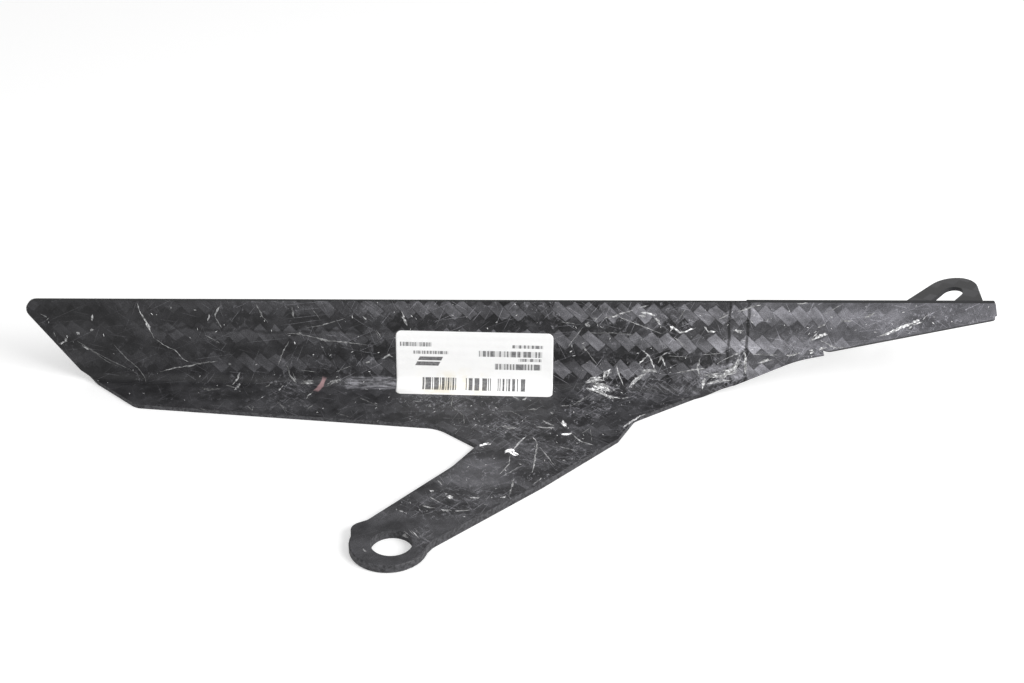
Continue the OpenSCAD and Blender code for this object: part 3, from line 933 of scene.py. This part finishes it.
chance = np.random.default_rng(STRAND_SEED)
strand_verts, strand_faces, strand_pale = [], [], []
offset = 0
for width, pale_by, *line in MARKS:
    line = np.array([seen_at(*point) for point in line])
    bundle = max(1, round(width / STRAND_WIDTH * STRANDS_OVERLAP))
    pale_by *= ARM_PALER if line[0][1] < ARM_BELOW else 1
    for _ in range(bundle):
        aside = chance.uniform(-0.5, 0.5) * width if bundle > 1 else 0.0
        verts, faces, dim = strand(min(width, STRAND_WIDTH), line, aside, chance)
        strand_verts.append(verts)
        strand_faces += [tuple(offset + i for i in face) for face in faces]
        strand_pale += list(pale_by * dim)
        offset += len(verts)
mark_mesh = bpy.data.meshes.new("marks")
mark_mesh.from_pydata(np.concatenate(strand_verts).tolist(), [], strand_faces)
mark_mesh.attributes.new("pale", "FLOAT", "POINT").data.foreach_set("value", strand_pale)
mark_mesh.update()
marks = object_from("torn_fibres", mark_mesh)

SPECKS_PER_M = 1400
PALE_GAIN = 1.9
PALE_FLOOR = 0.1
bare = Paint("bare fibre")
pale_by = bare.node("Attribute", {"attribute_name": "pale"}, "Fac")
here = bare.node("TexCoord", None, "Object")
speck = noise(bare, here, SPECKS_PER_M, 5, 0.8).ramp(0.4, 0.6)
brightness = (pale_by * pale_by * PALE_GAIN + pale_by * PALE_FLOOR) * (0.5 + speck)
bare_colour = bare.node(
    "CombineColor", None, "Color", Red=brightness, Green=brightness, Blue=brightness * 1.01
)
bare_material = bare.finish(bare.node(
    "BsdfPrincipled", None, "BSDF", Base_Color=bare_colour, Roughness=0.5
))
mark_mesh.materials.append(bare_material)
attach(marks, "root")


# Chips. Small pale specks of torn fibre, strewn over the inner face and thicker where it is
# most worn.
CHIP_SIZE = (1.0, 0.34, 0.11)
CHIP_DENSITY = 26000.0
CHIP_SEED = 5
CHIP_SMALLEST = (0.25, 0.3, 0.6)
CHIP_LARGEST = (1.3, 1.0, 1.0)
CHIP_PALE = (0.4, 0.7)

chip_mesh = bpy.data.meshes.new("chip")
length, breadth, tall = (c * MM / 2 for c in CHIP_SIZE)
chip_mesh.from_pydata(
    [(-length, 0, 0), (-length / 3, -breadth, 0), (length, -breadth / 3, 0),
     (length / 4, breadth, 0), (0, 0, tall), (0, 0, -tall)],
    [], [(0, 1, 4), (1, 2, 4), (2, 3, 4), (3, 0, 4), (1, 0, 5), (2, 1, 5), (3, 2, 5), (0, 3, 5)]
)
chip = object_from("chip_shape", chip_mesh)

# The tree strews chips over the shell's inner face, turns and sizes each and joins them
grow = bpy.data.node_groups.new("strewn chips", "GeometryNodeTree")
for name, kind in (
    ("Geometry", "NodeSocketGeometry"), ("Surface", "NodeSocketObject"),
    ("Chip", "NodeSocketObject"), ("Density", "NodeSocketFloat"), ("Seed", "NodeSocketInt"),
):
    grow.interface.new_socket(name, in_out="INPUT", socket_type=kind)
grow.interface.new_socket("Geometry", in_out="OUTPUT", socket_type="NodeSocketGeometry")


def step(kind, settings=None, **links):
    """A node of the chips' tree, with its inputs linked or set by name."""
    made = grow.nodes.new(kind)
    for key, value in (settings or {}).items():
        setattr(made, key, value)
    for key, value in links.items():
        socket = next(s for s in made.inputs if s.name == key.replace("_", " ") and s.enabled)
        if hasattr(value, "is_output"):
            grow.links.new(value, socket)
        else:
            socket.default_value = value
    return made


given = step("NodeGroupInput").outputs
ground = step("GeometryNodeObjectInfo", None, Object=given["Surface"])
seed_shape = step("GeometryNodeObjectInfo", None, Object=given["Chip"])
worn_share = step("GeometryNodeInputNamedAttribute", {"data_type": "FLOAT"}, Name="fleck")
many = step("ShaderNodeMath", {"operation": "MULTIPLY"})
grow.links.new(worn_share.outputs["Attribute"], many.inputs[0])
grow.links.new(given["Density"], many.inputs[1])
strewn = step(
    "GeometryNodeDistributePointsOnFaces", None, Mesh=ground.outputs["Geometry"],
    Density=many.outputs[0], Seed=given["Seed"]
)
spin = step(
    "FunctionNodeRandomValue", {"data_type": "FLOAT_VECTOR"}, Min=(0, 0, 0),
    Max=(0, 0, math.tau), Seed=1
)
turn = step("FunctionNodeRotateRotation", {"rotation_space": "LOCAL"})
spun = step("FunctionNodeEulerToRotation", None, Euler=spin.outputs[0])
grow.links.new(strewn.outputs["Rotation"], turn.inputs[0])
grow.links.new(spun.outputs[0], turn.inputs[1])
size = step(
    "FunctionNodeRandomValue", {"data_type": "FLOAT_VECTOR"}, Min=CHIP_SMALLEST,
    Max=CHIP_LARGEST, Seed=2
)
placed = step(
    "GeometryNodeInstanceOnPoints", None, Points=strewn.outputs["Points"],
    Instance=seed_shape.outputs["Geometry"], Rotation=turn.outputs[0], Scale=size.outputs[0]
)
real = step("GeometryNodeRealizeInstances", None, Geometry=placed.outputs["Instances"])
dressed = step("GeometryNodeSetMaterial", None, Geometry=real.outputs["Geometry"])
dressed.inputs["Material"].default_value = bare_material
step("NodeGroupOutput", None, Geometry=dressed.outputs["Geometry"])

carrier = object_from("chips_source", bpy.data.meshes.new("chips source"))
strew = carrier.modifiers.new("strewn chips", "NODES")
strew.node_group = grow
socket_of = {s.name: s.identifier for s in grow.interface.items_tree if s.in_out == "INPUT"}
strew[socket_of["Surface"]] = shell
strew[socket_of["Chip"]] = chip
strew[socket_of["Density"]] = CHIP_DENSITY
strew[socket_of["Seed"]] = CHIP_SEED
carrier.update_tag()
graph = bpy.context.evaluated_depsgraph_get()
strewn_mesh = bpy.data.meshes.new_from_object(carrier.evaluated_get(graph))
bpy.data.objects.remove(carrier)
bpy.data.objects.remove(chip)
corners = len(chip_mesh.vertices)
luck = chance.random(len(strewn_mesh.vertices) // corners)
pale_each = np.repeat(np.interp(luck, (0, 1), CHIP_PALE), corners)
strewn_mesh.attributes.new("pale", "FLOAT", "POINT").data.foreach_set("value", pale_each)
chips = object_from("chips", strewn_mesh)
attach(chips, "root")


# Table and light. A white table top, which the camera sees a little brighter than it is lit, a
# large soft box low on the right, a weaker one in front and an even surround. They stand for
# nothing of the guard.
FLOOR_HALF = 4.0
FLOOR_WHITE = 0.90
FLOOR_GLOW = 0.27
SURROUND = 0.5
KEY_WATTS = 15.0
KEY_SIZE = 0.75
KEY_AT = (0.98, -0.5, 0.66)
KEY_AIM = (0.05, 0.06, 0.0)
FILL_WATTS = 6.0
FILL_SIZE = 1.6
FILL_AT = (-0.3, -0.9, 1.3)

bpy.context.scene.view_settings.view_transform = "Standard"
table_mesh = bpy.data.meshes.new("table")
table_mesh.from_pydata(
    [(x * FLOOR_HALF, y * FLOOR_HALF, 0) for x, y in ((-1, -1), (1, -1), (1, 1), (-1, 1))],
    [], [(0, 1, 2, 3)]
)
table = object_from("table", table_mesh)
white = Paint("table white")
seen = white.node("LightPath", None, "Is Camera Ray")
glow = white.node("CombineColor", None, "Color", Red=seen, Green=seen, Blue=seen)
table_mesh.materials.append(white.finish(white.node(
    "BsdfPrincipled", None, "BSDF", Base_Color=(FLOOR_WHITE, FLOOR_WHITE, FLOOR_WHITE, 1),
    Roughness=0.35, Emission_Color=glow, Emission_Strength=FLOOR_GLOW
)))

surround = bpy.data.worlds.new("surround")
surround.use_nodes = True
surround.node_tree.nodes["Background"].inputs["Color"].default_value = (1, 1, 1, 1)
surround.node_tree.nodes["Background"].inputs["Strength"].default_value = SURROUND
bpy.context.scene.world = surround


def soft_box(name, at, aim, watts, size):
    """A square area lamp at one place, pointed at another."""
    lamp = bpy.data.lights.new(name, "AREA")
    lamp.energy = watts
    lamp.size = size
    made = object_from(name, lamp)
    made.location = at
    made.rotation_euler = (Vector(aim) - Vector(at)).to_track_quat("-Z", "Y").to_euler()


soft_box("key", KEY_AT, KEY_AIM, KEY_WATTS, KEY_SIZE)
soft_box("fill", FILL_AT, KEY_AIM, FILL_WATTS, FILL_SIZE)
